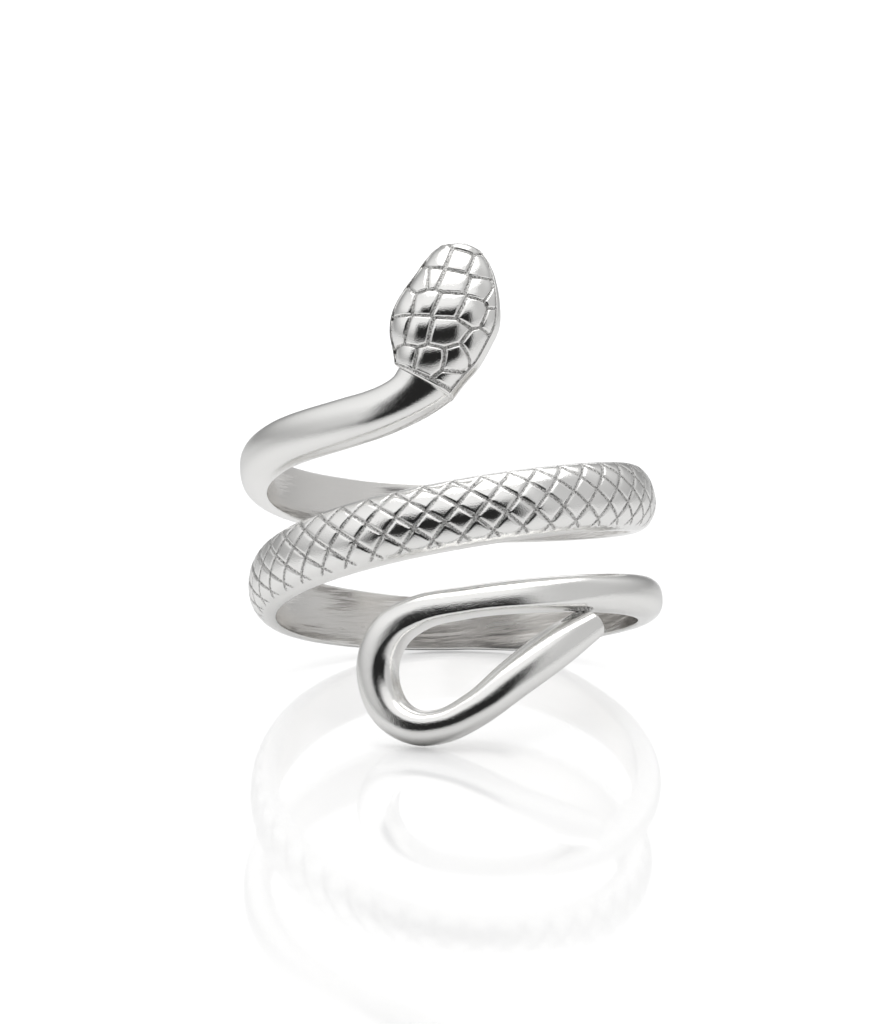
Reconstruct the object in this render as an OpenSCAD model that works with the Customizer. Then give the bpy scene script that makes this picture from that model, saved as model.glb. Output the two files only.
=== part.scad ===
// Snake ring: a silver snake that wraps the finger twice, with its head up and its tail in a loop.
// The snake is drawn on a flat sheet, "around" the finger and "up" along it, in millimetres, and the
// sheet is then wrapped on the finger. 0 around is the front of the ring, and 0 up is the foot of the loop.

/* [Finger hole] */
// Radius of the finger hole
finger_r = 8.75; // [8:0.25:10]

/* [Body] */
// Width of the body where it is widest, on the scaled turn
body_w = 3.3; // [2.9:0.1:3.5]
// Height of the body over the finger
body_h = 1.3; // [1.1:0.05:1.5]
// Height of the straight edge under the domed top
edge_h = 0.25; // [0.15:0.05:0.4]
// Fullness of the domed top, where 2 is an ellipse
fullness = 2.2; // [1.8:0.1:3]

/* [Tail loop] */
// Height of the tail over the finger
tail_h = 1.45; // [1.2:0.05:1.6]
// Radius of the solder bead that joins the tail's end to the body
solder_r = 0.5; // [0.4:0.01:0.55]

/* [Body scales] */
// Number of scales in one turn
scales_per_turn = 42; // [38:1:46]
// Width of the grooves between the scales
groove_w = 0.24; // [0.15:0.01:0.3]
// Depth of the grooves
groove_d = 0.13; // [0.05:0.01:0.2]

/* [Head] */
// Width of the head
head_w = 4.65; // [4.2:0.05:5]
// Height of the head over the finger
head_h = 2.7; // [2.3:0.1:3]
// Depth of the grooves between the scales of the head
head_groove_d = 0.14; // [0.05:0.01:0.2]

/* [How it stands] */
// Lean backwards of the finger's axis
lean = 21.5; // [15:0.1:25]
// Roll of the finger's axis, with the right side raised
roll = 4.4; // [0:0.2:8]
// How far the first turn widens downwards behind, so that the ring rests steadily
heel_drop = 0.26; // [0:0.02:0.4]

/* [Hidden] */

turn_l = 2 * PI * finger_r;
bore_dip = 0.3;
bore_low = -3;
bore_high = 28;
bore_sides = 240;

// The coil, a row for every quarter turn from a quarter before the front: up, share of body_w, of body_h
coil_rows = [
    [6.1, 0.40, 1.15],
    [6.62, 0.45, 1.12],
    [7.4, 0.65, 1.00],
    [8.22, 0.80, 1.00],
    [9.4, 0.97, 0.96],
    [10.8, 1.00, 0.96],
    [12.4, 1.00, 1.04],
    [13.85, 0.88, 1.00],
    [15.15, 0.76, 0.97],
    [16.3, 0.69, 1.00],
    [17.4, 0.66, 1.00]
];

// The tail from its cut end round the loop: around, up, width
tail_rows = [
    [6.6, 5.41, 1.42],
    [4.45, 4.27, 1.95],
    [2.3, 2.83, 1.9],
    [0.4, 1.49, 1.68],
    [-1.0, 0.88, 1.6],
    [-2.2, 0.87, 1.68],
    [-3.3, 1.58, 1.8],
    [-3.9, 2.9, 1.9],
    [-3.85, 4.35, 2.02],
    [-3.05, 5.63, 1.98],
    [-1.7, 6.31, 1.66],
    [0.3, 6.58, 1.52]
];

// The neck up to the collar: around, up, heading, width, share of body_h
neck_rows = [
    [-4.3, 15.85, 8, 2.35, 1.00],
    [-3.1, 16.02, 13, 2.3, 1.04],
    [-2.2, 16.27, 23, 2.3, 1.08],
    [-1.35, 16.65, 36, 2.45, 1.16],
    [-0.75, 17.1, 50, 2.8, 1.26]
];

// The head from the collar to the nose: around, up, heading, share of head_w, share of head_h
head_rows = [
    [-0.75, 17.1, 50, 0.65, 0.85],
    [-0.46, 17.63, 62, 0.71, 0.91],
    [-0.17, 18.15, 70, 0.81, 0.955],
    [0.1, 19.05, 75, 0.94, 0.995],
    [0.42, 20.03, 76, 1.00, 1.00],
    [0.73, 21.02, 76, 0.92, 0.94],
    [1.02, 21.9, 76, 0.79, 0.82],
    [1.22, 22.7, 76, 0.65, 0.66],
    [1.35, 23.3, 76, 0.48, 0.51],
    [1.43, 23.62, 76, 0.31, 0.39],
    [1.46, 23.75, 76, 0.12, 0.28]
];

// Middles of the head's scales: along the head from the collar, across it to the left
head_scales = [
    [0.3, -1.05],
    [0.65, 1.0],
    [0.85, 0.03],
    [1.15, -0.84],
    [1.9, -1.45],
    [2.28, -0.12],
    [2.25, 0.75],
    [2.3, 1.65],
    [3.4, -1.9],
    [3.5, -0.75],
    [3.6, 0.05],
    [3.65, 0.75],
    [3.5, 1.75],
    [4.35, -1.7],
    [4.7, -0.87],
    [4.75, 0.2],
    [4.8, 0.9],
    [4.7, 1.2],
    [5.8, -0.7],
    [5.95, 0.07],
    [6.05, 0.85],
    [7.05, -0.15]
];

// Share of the head's height where it is widest, and how far its sides tuck in below that
head_belly = 0.3;
head_tuck = 0.05;
// Angles over the head's section between which its scales lie, counted from its left side
scaled_from = 25;
scaled_to = 148;
head_groove_half = 0.17;
head_step = 0.16;

// The heel of the first turn, in degrees from the front
heel_at = 152;
heel_reach = 26;

coil_start = 22;
coil_end = 660;
coil_step = 5.2;
tail_step = 0.56;
neck_step = 0.5;

// The pattern of scales runs from 240 to 485 degrees, and starts half a step early
half_scale = 180 / scales_per_turn;
first_scale = ceil(240 / half_scale) - 0.5;
last_scale = floor(485 / half_scale) - 0.5;
scale_steps = last_scale - first_scale;
tip_reach = 0.63;
fade_steps = 6;

// Shares across the body: its upper edge, five rows of scale corners, ends of the grooves, its lower edge
shares = [1, 0.93, 0.55, 0.15, -0.28, -0.70, -0.94, -1];
top_row = 1;
last_row = 5;
tip_row = 6;
low_row = 7;
sides = len(shares) + 2;

function mix(a, b, t) = a * (1 - t) + b * t;
function ease(t) = let(c = max(0, min(1, t))) c * c * (3 - 2 * c);
function last(list) = list[len(list) - 1];

// A smooth curve through evenly spaced rows, at place t counted in rows
function through(rows, t) =
    let(i = max(1, min(len(rows) - 3, floor(t))), f = t - i,
        a = rows[i - 1], b = rows[i], c = rows[i + 1], d = rows[i + 2])
    b + 0.5 * f * ((c - a) + f * ((2 * a - 5 * b + 4 * c - d) + f * (3 * b - 3 * c + d - a)));

// A smooth curve from row i to the next one, for rows that are unevenly spaced on the sheet
function gap(rows, i) = norm([rows[i + 1][0] - rows[i][0], rows[i + 1][1] - rows[i][1]]);
function slope(rows, i) =
    i == 0 ? (rows[1] - rows[0]) / gap(rows, 0) :
    i == len(rows) - 1 ? (rows[i] - rows[i - 1]) / gap(rows, i - 1) :
    let(p = gap(rows, i - 1), q = gap(rows, i))
    ((rows[i] - rows[i - 1]) * q / p + (rows[i + 1] - rows[i]) * p / q) / (p + q);
function between(rows, i, f) =
    let(g = gap(rows, i), u = slope(rows, i) * g, v = slope(rows, i + 1) * g)
    rows[i] * (2 * f * f * f - 3 * f * f + 1) + u * (f * f * f - 2 * f * f + f)
    + rows[i + 1] * (3 * f * f - 2 * f * f * f) + v * (f * f * f - f * f);
function resample(rows, first, end, step) = [
    for (i = [first:end - 1])
        let(n = ceil(gap(rows, i) / step))
        for (k = [0:n - 1]) between(rows, i, k / n)
];

// A station of the snake is [around, up, heading, width, height]. This is a point of its section.
function on_finger(station, across, high) =
    let(around = station[0] - across * sin(station[2]), up = station[1] + across * cos(station[2]),
        angle = 360 * around / turn_l, r = finger_r + high)
    [r * sin(angle), -r * cos(angle), up];

// Height of the domed section at a share from -1 to 1 across it
function dome(share, high) =
    edge_h + (high - edge_h) * pow(max(0, 1 - pow(abs(share), fullness)), 1 / fullness);

// The coil at an angle round the finger, counted on from the front where the tail starts
function heel(angle) = heel_drop * ease(1 - abs(angle - heel_at) / heel_reach);
function coil_place(angle) =
    let(row = through(coil_rows, angle / 90 + 1), low = heel(angle))
    [angle * turn_l / 360, row[0] - low / 2, row[1] * body_w + low, row[2] * body_h];
function coil_station(angle) =
    let(p = coil_place(angle), a = coil_place(angle - 0.5), b = coil_place(angle + 0.5))
    [p[0], p[1], atan2(b[1] - a[1], b[0] - a[0]), p[2], p[3]];
function coil_part(from, to, first) =
    let(n = ceil((to - from) / coil_step))
    [for (k = [first:n - 1]) coil_station(from + (to - from) * k / n)];

// The tail, whose heading comes from the stations beside each one
tail_knots = concat(
    [for (row = tail_rows) [row[0], row[1], row[2], tail_h]],
    [coil_place(coil_start), coil_place(coil_start + 10)]
);
tail_path = resample(tail_knots, 0, len(tail_rows), tail_step);
tail_part = [
    for (i = [0:len(tail_path) - 1])
        let(p = tail_path[i], a = tail_path[max(0, i - 1)],
            b = i + 1 < len(tail_path) ? tail_path[i + 1] : coil_place(coil_start))
        [p[0], p[1], atan2(b[1] - a[1], b[0] - a[0]), p[2], p[3]]
];

// The neck and the head lie two turns on from the front. A row of the head also holds how far along it is.
neck_knots = concat(
    [coil_station(coil_end - 5), coil_station(coil_end)],
    [for (row = neck_rows) [row[0] + 2 * turn_l, row[1], row[2], row[3], row[4] * body_h]]
);
neck_part = concat(resample(neck_knots, 1, len(neck_knots) - 1, neck_step), [last(neck_knots)]);
function along(rows, i) = i == 0 ? 0 : along(rows, i - 1) + gap(rows, i - 1);
head_knots = [
    for (i = [0:len(head_rows) - 1])
        let(row = head_rows[i])
        [row[0] + 2 * turn_l, row[1], row[2], row[3] * head_w, row[4] * head_h, along(head_rows, i)]
];
head_part = concat(resample(head_knots, 0, len(head_knots) - 1, head_step), [last(head_knots)]);

before_scales = concat(tail_part, coil_part(coil_start, first_scale * half_scale, 0));
after_scales = concat(coil_part(last_scale * half_scale, coil_end, 1), neck_part);
first_ring = len(before_scales);

// A plain ring of points round the body, from its upper edge over the top and back under it
function ring(s) = concat(
    [for (x = shares) on_finger(s, x * s[3] / 2, dome(x, s[4]))],
    [for (x = [-1, 1]) on_finger(s, x * s[3] / 2, -bore_dip)]
);

// Body scales. Corner (k, j) is half step k along the body, in row j across it. Grooves meet at every
// second corner. The others are the middles of scales, with four points round each, inside the grooves.
inset = groove_w * sqrt(2) / 2 / (half_scale * turn_l / 360);
function is_groove(k, j) = (k + j) % 2 == 0;
function groove_depth(k) = groove_d * ease(k / fade_steps) * ease((scale_steps - k) / fade_steps);
function body_point(k, share, drop) =
    let(s = coil_station((first_scale + k) * half_scale))
    on_finger(s, share * s[3] / 2, dome(share, s[4]) - drop);
function scale_ring(k) =
    let(plain = ring(coil_station((first_scale + k) * half_scale)))
    [
        for (j = [0:sides - 1])
            j >= top_row && j <= last_row && is_groove(k, j)
                ? body_point(k, shares[j], groove_depth(k)) : plain[j]
    ];
function inset_points(k, j) = [
    body_point(k + 1 - inset, shares[j], 0),
    body_point(k, mix(shares[j - 1], shares[j], inset), 0),
    body_point(k - 1 + inset, shares[j], 0),
    body_point(k, mix(shares[j], shares[j + 1], is_groove(k, j) ? inset : 1 - inset), 0)
];

rings = concat(
    [for (s = before_scales) ring(s)],
    [for (k = [0:scale_steps]) scale_ring(k)],
    [for (s = after_scales) ring(s)]
);
inset_points_all = [for (k = [0:scale_steps]) for (j = [top_row:last_row]) each inset_points(k, j)];
tip_points = [
    for (k = [0:scale_steps]) each
        [body_point(k + tip_reach, shares[tip_row], 0), body_point(k - tip_reach, shares[tip_row], 0)]
];

function ring_point(i, j) = i * sides + j % sides;
function strip(i, from, to) = [
    for (j = [from:to]) each [
        [ring_point(i, j), ring_point(i + 1, j), ring_point(i + 1, j + 1)],
        [ring_point(i, j), ring_point(i + 1, j + 1), ring_point(i, j + 1)]
    ]
];
inset_base = len(rings) * sides;
tip_base = inset_base + len(inset_points_all);
function corner(k, j) = ring_point(first_ring + k, j);
function east(k, j) = inset_base + 4 * (last_row * k + j - 1);
function north(k, j) = east(k, j) + 1;
function west(k, j) = east(k, j) + 2;
function south(k, j) = east(k, j) + 3;
function right_tip(k) = tip_base + 2 * k;
function left_tip(k) = tip_base + 2 * k + 1;

function upper_half(k, j) =
    let(c = corner(k, j), up = corner(k, j - 1), e = east(k, j), n = north(k, j), w = west(k, j),
        before = corner(k - 1, j), after = corner(k + 1, j))
    [[c, n, e], [c, w, n], [up, after, e], [up, e, n], [before, up, n], [before, n, w]];
function lower_half(k, j) =
    let(c = corner(k, j), low = corner(k, j + 1), e = east(k, j), w = west(k, j), s = south(k, j),
        before = corner(k - 1, j), after = corner(k + 1, j))
    [[c, e, s], [c, s, w], [after, low, s], [after, s, e], [low, before, w], [low, w, s]];
// Between a scale of the top row and the upper edge, and between one of the last row and the groove ends
function upper_edge(k) =
    let(c = corner(k, top_row), e = east(k, top_row), w = west(k, top_row),
        before = corner(k - 1, top_row), after = corner(k + 1, top_row),
        a = corner(k - 1, 0), b = corner(k, 0), d = corner(k + 1, 0))
    [[before, a, w], [a, c, w], [a, b, c], [b, d, c], [c, d, e], [e, d, after]];
function lower_edge(k) =
    let(c = corner(k, last_row), e = east(k, last_row), w = west(k, last_row),
        before = corner(k - 1, last_row), after = corner(k + 1, last_row),
        m = corner(k, tip_row), r = right_tip(k - 1), l = left_tip(k + 1))
    [[c, e, l], [c, l, m], [c, m, r], [c, r, w], [before, w, r], [after, l, e]];
// The two free ends of the grooves that cross in the last row, and the plain margin below them
function fork(k) =
    let(x = corner(k, last_row), b = south(k, last_row), m = corner(k, tip_row))
    [[x, right_tip(k), b], [x, b, left_tip(k)], [b, right_tip(k), m], [b, m, left_tip(k)]];
function margin(k) =
    let(tip = is_groove(k, last_row) ? right_tip(k) : left_tip(k + 1),
        a = corner(k, low_row), b = corner(k + 1, low_row))
    [[corner(k, tip_row), tip, a], [tip, corner(k + 1, tip_row), b], [tip, b, a]];
// The cut halves of scales where the pattern starts, with way 1, and where it ends, with way -1
function end_half(k, j, way) =
    let(c = corner(k, j), next = corner(k + way, j), tip = way > 0 ? left_tip(k + 1) : right_tip(k - 1))
    concat(
        j > top_row ? [[c, corner(k, j - 1), next]]
            : [[corner(k, 0), corner(k + way, 0), c], [c, corner(k + way, 0), next]],
        j < last_row ? [[c, next, corner(k, j + 1)]] : [[c, next, tip], [c, tip, corner(k, tip_row)]]
    );
function pattern_end(k, way) = [
    for (face = concat(
        [for (j = [top_row:last_row]) if (!is_groove(k, j)) each end_half(k, j, way)],
        is_groove(k, last_row)
            ? [[corner(k, last_row), way > 0 ? right_tip(k) : left_tip(k), corner(k, tip_row)]] : []
    )) way > 0 ? face : [face[0], face[2], face[1]]
];

body_faces = [
    for (i = [0:len(rings) - 2]) each
        strip(i, i < first_ring || i >= first_ring + scale_steps ? 0 : low_row, sides - 1)
];
scale_faces = concat(
    pattern_end(0, 1),
    pattern_end(scale_steps, -1),
    [for (k = [0:scale_steps - 1]) each margin(k)],
    [
        for (k = [1:scale_steps - 1]) for (j = [top_row:last_row]) each
            is_groove(k, j) ? (j == last_row ? fork(k) : []) : concat(
                j == top_row ? upper_edge(k) : upper_half(k, j),
                j == last_row ? lower_edge(k) : lower_half(k, j)
            )
    ]
);

// Head. Its scales are the parts of it that lie nearest to each middle in head_scales.
head_angles = concat([0, 12], [for (angle = [20:5:160]) angle], [168, 180]);
head_sides = len(head_angles) + 4; // with the four points below the widest place
function head_quarter(s) = PI / 2 * norm([s[3] / 2, s[4] * (1 - head_belly)]) / sqrt(2);
function cell_edge(place) =
    let(away = [for (c = head_scales) norm(place - c)], nearest = search(min(away), away)[0],
        middle = head_scales[nearest])
    min([
        for (j = [0:len(head_scales) - 1]) if (j != nearest)
            (pow(away[j], 2) - pow(away[nearest], 2)) / norm(head_scales[j] - middle) / 2
    ]);
function head_groove(s, angle) =
    let(quarter = head_quarter(s), rim = max(scaled_from - angle, angle - scaled_to) * quarter / 90,
        edge = rim < 0 ? min(-rim, cell_edge([s[5], (1 - angle / 90) * quarter])) : rim)
    head_groove_d * max(0, 1 - edge / head_groove_half) * ease(s[3] / head_w * 3);
function rounded(x) = sign(x) * pow(abs(x), 2 / fullness);
// Below its widest place the head's side has two more points: side, share of the way down
head_sides_down = [[-1, 0.5], [-1, 1], [1, 1], [1, 0.5]];
function head_ring(s) = concat(
    [
        for (angle = head_angles)
            let(high = s[4] * mix(head_belly, 1, rounded(sin(angle))))
            on_finger(s, rounded(cos(angle)) * s[3] / 2, high - head_groove(s, angle))
    ],
    [
        for (low = head_sides_down)
            let(half = s[3] / 2 * (1 - head_tuck * low[1] * low[1]))
            on_finger(s, low[0] * half, mix(head_belly * s[4], -bore_dip, low[1]))
    ]
);
head_rings = [for (s = head_part) head_ring(s)];
head_base = tip_base + len(tip_points);
function head_point(i, j) = head_base + i * head_sides + j % head_sides;
head_faces = [
    for (i = [0:len(head_rings) - 2]) for (j = [0:head_sides - 1]) each [
        [head_point(i, j), head_point(i + 1, j), head_point(i + 1, j + 1)],
        [head_point(i, j), head_point(i + 1, j + 1), head_point(i, j + 1)]
    ]
];

// The collar, where the neck's last ring meets the first and wider one of the head
function lap_shares(points) =
    let(n = len(points), steps = [for (i = [0:n - 1]) norm(points[(i + 1) % n] - points[i])],
        sums = [for (i = 0, sum = 0; i <= n; sum = sum + (i < n ? steps[i] : 0), i = i + 1) sum])
    sums / sums[n];
neck_end = len(rings) - 1;
neck_shares = lap_shares(rings[neck_end]);
head_shares = lap_shares(head_rings[0]);
function collar(i, j) =
    i == sides && j == head_sides ? [] :
    let(a = ring_point(neck_end, i), b = head_point(0, j))
    j < head_sides && (i == sides || head_shares[j + 1] < neck_shares[i + 1])
        ? concat([[a, b, head_point(0, j + 1)]], collar(i, j + 1))
        : concat([[a, b, ring_point(neck_end, i + 1)]], collar(i + 1, j));

// The tail's cut end and the tip of the nose are closed round one more point each
head_end = len(head_rings) - 1;
tail_middle = head_base + len(head_rings) * head_sides;
nose_middle = tail_middle + 1;
end_points = [
    on_finger(tail_part[0], 0, tail_h / 3),
    on_finger(last(head_part), 0, last(head_part)[4] / 3)
];
end_faces = concat(
    [for (j = [0:sides - 1]) [ring_point(0, j), ring_point(0, j + 1), tail_middle]],
    [for (j = [0:head_sides - 1]) [head_point(head_end, j + 1), head_point(head_end, j), nose_middle]]
);

snake_points = concat(
    [for (r = rings) each r], inset_points_all, tip_points, [for (r = head_rings) each r], end_points
);
snake_faces = concat(body_faces, scale_faces, collar(0, 0), head_faces, end_faces);

// Where the ring stands: the finger's axis rolls, then leans back, and the box is centred over the origin
function stood(p) =
    let(x = p[0] * cos(roll) - p[2] * sin(roll), z = p[0] * sin(roll) + p[2] * cos(roll))
    [x, p[1] * cos(lean) + z * sin(lean), z * cos(lean) - p[1] * sin(lean)];
function outside_bore(p) =
    let(k = max(1, finger_r / norm([p[0], p[1]])))
    [p[0] * k, p[1] * k, p[2]];
stood_points = [for (p = snake_points) stood(outside_bore(p))];
stood_low = [for (i = [0:2]) min([for (p = stood_points) p[i]])];
stood_high = [for (i = [0:2]) max([for (p = stood_points) p[i]])];
foot = [(stood_low[0] + stood_high[0]) / 2, (stood_low[1] + stood_high[1]) / 2, stood_low[2]];

// Where the tail's end is soldered to the lower edge of the body: around, up, height
solder_place = [6.25, 6.02, 0.46];

module snake_ring() color("silver")
    translate(-foot) rotate([-lean, 0, 0]) rotate([0, -roll, 0])
        difference() {
            union() {
                polyhedron(points = snake_points, faces = snake_faces, convexity = 10);
                translate(on_finger([solder_place[0], solder_place[1], 0], 0, solder_place[2]))
                    sphere(r = solder_r, $fn = 24);
            }
            translate([0, 0, bore_low]) cylinder(r = finger_r, h = bore_high - bore_low, $fn = bore_sides);
        }

snake_ring();
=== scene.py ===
# Coiled snake ring in polished silver.
# The snake is drawn on a flat sheet, around the finger and up along it, and Geometry Nodes sweep its
# section along the drawn line and wrap it on the finger. Tables are in millimetres, nodes in metres.
import math

import bpy
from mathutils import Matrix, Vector


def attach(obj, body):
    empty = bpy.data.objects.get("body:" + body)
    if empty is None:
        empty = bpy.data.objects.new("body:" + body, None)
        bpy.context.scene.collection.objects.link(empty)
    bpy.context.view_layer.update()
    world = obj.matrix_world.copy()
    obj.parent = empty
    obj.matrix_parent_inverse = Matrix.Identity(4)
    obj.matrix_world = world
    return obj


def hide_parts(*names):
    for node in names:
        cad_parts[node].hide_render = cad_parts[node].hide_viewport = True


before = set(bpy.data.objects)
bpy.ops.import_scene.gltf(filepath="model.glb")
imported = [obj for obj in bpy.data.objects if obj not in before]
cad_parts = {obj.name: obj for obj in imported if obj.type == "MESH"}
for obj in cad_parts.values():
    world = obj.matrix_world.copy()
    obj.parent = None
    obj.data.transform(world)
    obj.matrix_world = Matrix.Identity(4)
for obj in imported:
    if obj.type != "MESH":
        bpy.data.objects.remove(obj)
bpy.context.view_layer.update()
mm = 0.001

ring = {
    "fingerRadius": 8.75,
    "lean": 21.5,  # degrees backwards
    "roll": 4.4,  # degrees, right side up
    "foot": (-0.852, 2.695, 2.970),  # where the CAD model puts its origin
    "innerShares": (-0.6, -0.3, 0.0, 0.3, 0.6),  # points across the face that lies on the finger
    "heart": 0.45,  # share of the height where a section has its middle
}
turn = 2 * math.pi * ring["fingerRadius"]


# Small helpers for node trees

def newNode(tree, kind, values=None, **settings):
    node = tree.nodes.new(kind)
    count = len(tree.nodes)
    node.location = (200 * (count // 8), -180 * (count % 8))
    for name, value in settings.items():
        setattr(node, name, value)
    for key, value in (values or {}).items():
        plug(tree, node.inputs[key], value)
    return node


def plug(tree, socket, value):
    if isinstance(value, bpy.types.NodeSocket):
        tree.links.new(value, socket)
    else:
        socket.default_value = value


def maths(tree, operation, *values):
    return newNode(tree, "ShaderNodeMath", dict(enumerate(values)), operation=operation).outputs[0]


def vectors(tree, operation, *values, output=0):
    return newNode(tree, "ShaderNodeVectorMath", dict(enumerate(values)), operation=operation).outputs[output]


def measure(tree, operation, *values):
    # A number from two vectors, such as their distance
    return vectors(tree, operation, *values, output="Value")


def mix(tree, factor, first, second, kind="Float"):
    dataType = {"Float": "FLOAT", "Vector": "VECTOR", "Color": "RGBA"}[kind]
    node = newNode(tree, "ShaderNodeMix", data_type=dataType)
    sockets = {socket.identifier: socket for socket in (*node.inputs, *node.outputs)}
    for name, value in (("Factor_Float", factor), ("A_" + kind, first), ("B_" + kind, second)):
        plug(tree, sockets[name], value)
    return sockets["Result_" + kind]


def noise(tree, place, size, detail):
    return newNode(tree, "ShaderNodeTexNoise", {
        "Vector": place, "Scale": maths(tree, "DIVIDE", 1.0, size), "Detail": detail}).outputs[0]


def combine(tree, x, y, z):
    return newNode(tree, "ShaderNodeCombineXYZ", {0: x, 1: y, 2: z}).outputs[0]


def smoothRange(tree, value, low, high, toLow=0.0, toHigh=1.0, kind="SMOOTHSTEP"):
    node = newNode(tree, "ShaderNodeMapRange", interpolation_type=kind)
    for socket, item in zip(node.inputs, (value, low, high, toLow, toHigh)):
        plug(tree, socket, item)
    return node.outputs[0]


def addSockets(tree, inputs, outputs):
    for way, sockets in (("INPUT", inputs), ("OUTPUT", outputs)):
        for name, kind, value in sockets:
            socket = tree.interface.new_socket(name, in_out=way, socket_type="NodeSocket" + kind)
            if value is not None:
                socket.default_value = value
    return newNode(tree, "NodeGroupInput").outputs, newNode(tree, "NodeGroupOutput").inputs


def groupNode(tree, group, values):
    kind = "ShaderNodeGroup" if group.bl_idname == "ShaderNodeTree" else "GeometryNodeGroup"
    return newNode(tree, kind, values, node_tree=group).outputs


def attribute(tree, name, kind="FLOAT"):
    return newNode(tree, "GeometryNodeInputNamedAttribute", {"Name": name}, data_type=kind).outputs[0]


def store(tree, geometry, name, value, kind="FLOAT"):
    return newNode(tree, "GeometryNodeStoreNamedAttribute",
                   {"Geometry": geometry, "Name": name, "Value": value}, data_type=kind).outputs[0]


def chain(name, rows, closed=False):
    # A line of points in Blender, with each named value of the rows kept on its point
    mesh = bpy.data.meshes.new(name)
    edges = [(i, i + 1) for i in range(len(rows) - 1)] + ([(len(rows) - 1, 0)] if closed else [])
    points = [(row.get("around", row.get("side", 0)), row.get("up", 0), 0) for row in rows]
    mesh.from_pydata(points, edges, [])
    for key in rows[0]:
        layer = mesh.attributes.new(key, "FLOAT", "POINT")
        layer.data.foreach_set("value", [row[key] for row in rows])
    made = bpy.data.objects.new(name, mesh)
    bpy.context.scene.collection.objects.link(made)
    return made


# Rounded corners, and smooth curves through the rows of a table

def quarterRound(r):
    # A quarter circle in five points, as distances from the two faces that it joins
    return [(r * (1 - math.cos(t)), r * (1 - math.sin(t))) for t in (math.pi / 8 * k for k in range(5))]


def ease(t):
    t = max(0.0, min(1.0, t))
    return t * t * (3 - 2 * t)


def through(rows, t):
    # For rows that are evenly spaced
    i = max(1, min(len(rows) - 3, math.floor(t)))
    f = t - i
    return [q + 0.5 * f * ((r - p) + f * ((2 * p - 5 * q + 4 * r - s) + f * (3 * q - 3 * r + s - p)))
            for p, q, r, s in zip(*rows[i - 1:i + 3])]


def gap(rows, i):
    return math.hypot(rows[i + 1][0] - rows[i][0], rows[i + 1][1] - rows[i][1])


def slope(rows, i):
    if i == 0:
        return [(b - a) / gap(rows, 0) for a, b in zip(rows[0], rows[1])]
    if i == len(rows) - 1:
        return [(b - a) / gap(rows, i - 1) for a, b in zip(rows[i - 1], rows[i])]
    p, q = gap(rows, i - 1), gap(rows, i)
    return [((b - a) * q / p + (c - b) * p / q) / (p + q) for a, b, c in zip(*rows[i - 1:i + 2])]


def between(rows, i, f):
    # For rows at any distance, from row i on by the share f
    g = gap(rows, i)
    return [a * (2 * f ** 3 - 3 * f * f + 1) + g * u * (f ** 3 - 2 * f * f + f)
            + b * (3 * f * f - 2 * f ** 3) + g * v * (f ** 3 - f * f)
            for a, b, u, v in zip(rows[i], rows[i + 1], slope(rows, i), slope(rows, i + 1))]


def resample(rows, first, end, step):
    points = []
    for i in range(first, end):
        n = math.ceil(gap(rows, i) / step)
        points += [between(rows, i, k / n) for k in range(n)]
    return points


# The wrap: a point of the sheet goes on the finger, and the finger leans back as the ring stands

def makeWrap():
    tree = bpy.data.node_groups.new("wrapOnFinger", "GeometryNodeTree")
    given, result = addSockets(tree, [
        ("Around", "Float", None), ("Up", "Float", None), ("High", "Float", None),
        ("Finger Radius", "Float", ring["fingerRadius"] * mm),
        ("Lean", "Float", math.radians(ring["lean"])), ("Roll", "Float", math.radians(ring["roll"])),
        ("Foot", "Vector", [v * mm for v in ring["foot"]]),
    ], [("Position", "Vector", None)])
    angle = maths(tree, "DIVIDE", given["Around"], given["Finger Radius"])
    radius = maths(tree, "ADD", given["Finger Radius"], given["High"])
    x = maths(tree, "MULTIPLY", radius, maths(tree, "SINE", angle))
    y = maths(tree, "MULTIPLY", radius, maths(tree, "MULTIPLY", maths(tree, "COSINE", angle), -1.0))
    upright = combine(tree, x, y, given["Up"])
    rolled = newNode(tree, "ShaderNodeVectorRotate",
                     {"Vector": upright, "Angle": maths(tree, "MULTIPLY", given["Roll"], -1.0)},
                     rotation_type="Y_AXIS").outputs[0]
    leant = newNode(tree, "ShaderNodeVectorRotate",
                    {"Vector": rolled, "Angle": maths(tree, "MULTIPLY", given["Lean"], -1.0)},
                    rotation_type="X_AXIS").outputs[0]
    tree.links.new(vectors(tree, "SUBTRACT", leant, given["Foot"]), result["Position"])
    return tree


wrapOnFinger = makeWrap()


def finishTree(tree, given, result, mesh, across, high, inner):
    # Places each point of the swept tube, then smooths, realizes and gives it its two finishes
    heading = attribute(tree, "heading")
    around = maths(tree, "SUBTRACT", attribute(tree, "around"),
                   maths(tree, "MULTIPLY", across, maths(tree, "SINE", heading)))
    up = maths(tree, "ADD", attribute(tree, "up"),
               maths(tree, "MULTIPLY", across, maths(tree, "COSINE", heading)))
    place = groupNode(tree, wrapOnFinger, {"Around": around, "Up": up, "High": high})["Position"]
    mesh = store(tree, mesh, "sheet", combine(tree, around, up, high), "FLOAT_VECTOR")
    mesh = newNode(tree, "GeometryNodeSetPosition", {"Geometry": mesh, "Position": place}).outputs[0]
    mesh = newNode(tree, "GeometryNodeSetShadeSmooth", {"Geometry": mesh}).outputs[0]
    mesh = newNode(tree, "GeometryNodeRealizeInstances", {"Geometry": mesh}).outputs[0]
    mesh = newNode(tree, "GeometryNodeSetMaterial",
                   {"Geometry": mesh, "Material": given["Outside"]}).outputs[0]
    mesh = newNode(tree, "GeometryNodeSetMaterial",
                   {"Geometry": mesh, "Selection": inner, "Material": given["Inside"]}).outputs[0]
    tree.links.new(mesh, result["Mesh"])


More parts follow.
